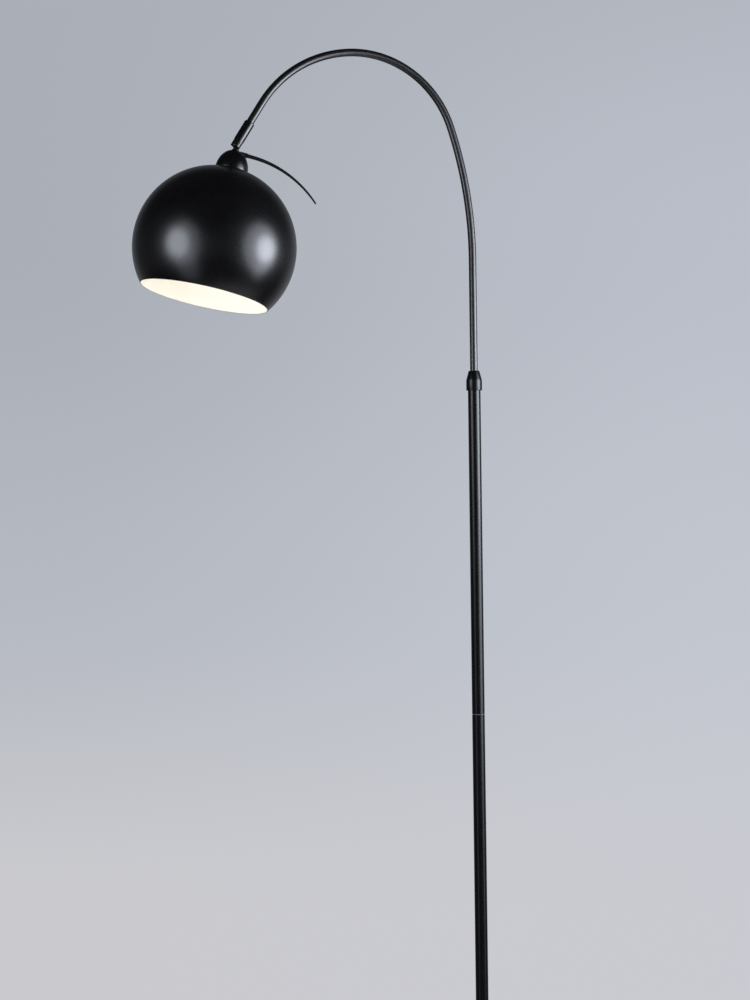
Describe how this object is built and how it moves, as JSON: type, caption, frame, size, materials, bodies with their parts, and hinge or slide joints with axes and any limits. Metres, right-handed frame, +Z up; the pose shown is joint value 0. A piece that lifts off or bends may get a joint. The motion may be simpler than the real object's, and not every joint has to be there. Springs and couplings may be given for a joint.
{
  "type": "arc floor lamp",
  "caption": "Black arc floor lamp: round weighted base, straight sectioned pole, clamp nut, sliding arc arm and a tilting spherical shade with a curved aiming handle.",
  "frame": {"origin": "on the floor, on the pole's axis, at the centre of the base's underside", "axes": "+Z up along the pole, -X towards the shade along the arm, Y across"},
  "size_m": [0.6876, 0.28, 2.1121],
  "materials": {
    "black_paint": "satin black powder coat",
    "shade_paint": "satin black outside, white enamel inside",
    "base_iron": "rough cast, unpainted",
    "base_pad": "matt foam sheet",
    "zinc_plate": "zinc plated",
    "black_plastic": "matt black moulding",
    "brass_parts": "bare brass",
    "ceramic_parts": "white steatite",
    "opal_glass": "opal, lit warm white"
  },
  "bodies": {
    "stand": {"base_pad": "base_pad", "base_weight": "base_iron", "base_cover": "black_paint", "base_washer": "zinc_plate", "base_nut": "zinc_plate", "cord_gland": "black_plastic", "pole_foot": "black_paint", "pole_stud": "zinc_plate", "pole_lower": "black_paint", "pole_middle": "black_paint", "pole_upper": "black_paint", "socket_lower": "zinc_plate", "socket_middle": "zinc_plate", "socket_upper": "zinc_plate", "joiner_lower": "zinc_plate", "joiner_upper": "zinc_plate", "clamp_body": "zinc_plate"},
    "clamp_nut": {"clamp_nut": "black_paint"},
    "collet": {"collet": "brass_parts"},
    "arm": {"arm_guide": "black_plastic", "arm_tube": "black_paint"},
    "sleeve": {"arm_sleeve": "black_paint", "sleeve_screw": "zinc_plate", "hinge_screw": "zinc_plate", "hinge_washer_front": "black_plastic", "hinge_washer_rear": "black_plastic"},
    "head": {"neck": "black_paint", "neck_nut": "zinc_plate", "cap": "black_paint", "handle": "black_paint", "lampholder": "black_plastic", "holder_insert": "ceramic_parts", "holder_contact": "brass_parts", "shade": "shade_paint", "shade_ring": "black_plastic", "bulb_cap": "brass_parts", "bulb_glass": "opal_glass"}
  },
  "joints": [
    {"name": "nut_turn", "type": "hinge", "parent": "stand", "child": "clamp_nut", "pos_m": [0, 0, 1.59], "axis": [0, 0, 1], "range_deg": [0, 180]},
    {"name": "arm_swivel", "type": "hinge", "parent": "stand", "child": "collet", "pos_m": [0, 0, 1.6], "axis": [0, 0, 1], "range_deg": [-170, 170]},
    {"name": "arm_height", "type": "slide", "parent": "collet", "child": "arm", "axis": [0, 0, 1], "range_m": [-0.16, 0]},
    {"name": "head_swivel", "type": "hinge", "parent": "arm", "child": "sleeve", "pos_m": [-0.38305, 0, 1.95484], "axis": [0.5299, 0, 0.848], "range_deg": [-170, 170]},
    {"name": "head_tilt", "type": "hinge", "parent": "sleeve", "child": "head", "pos_m": [-0.38305, 0, 1.95484], "axis": [0, 1, 0], "range_deg": [-26, 64]}
  ]
}
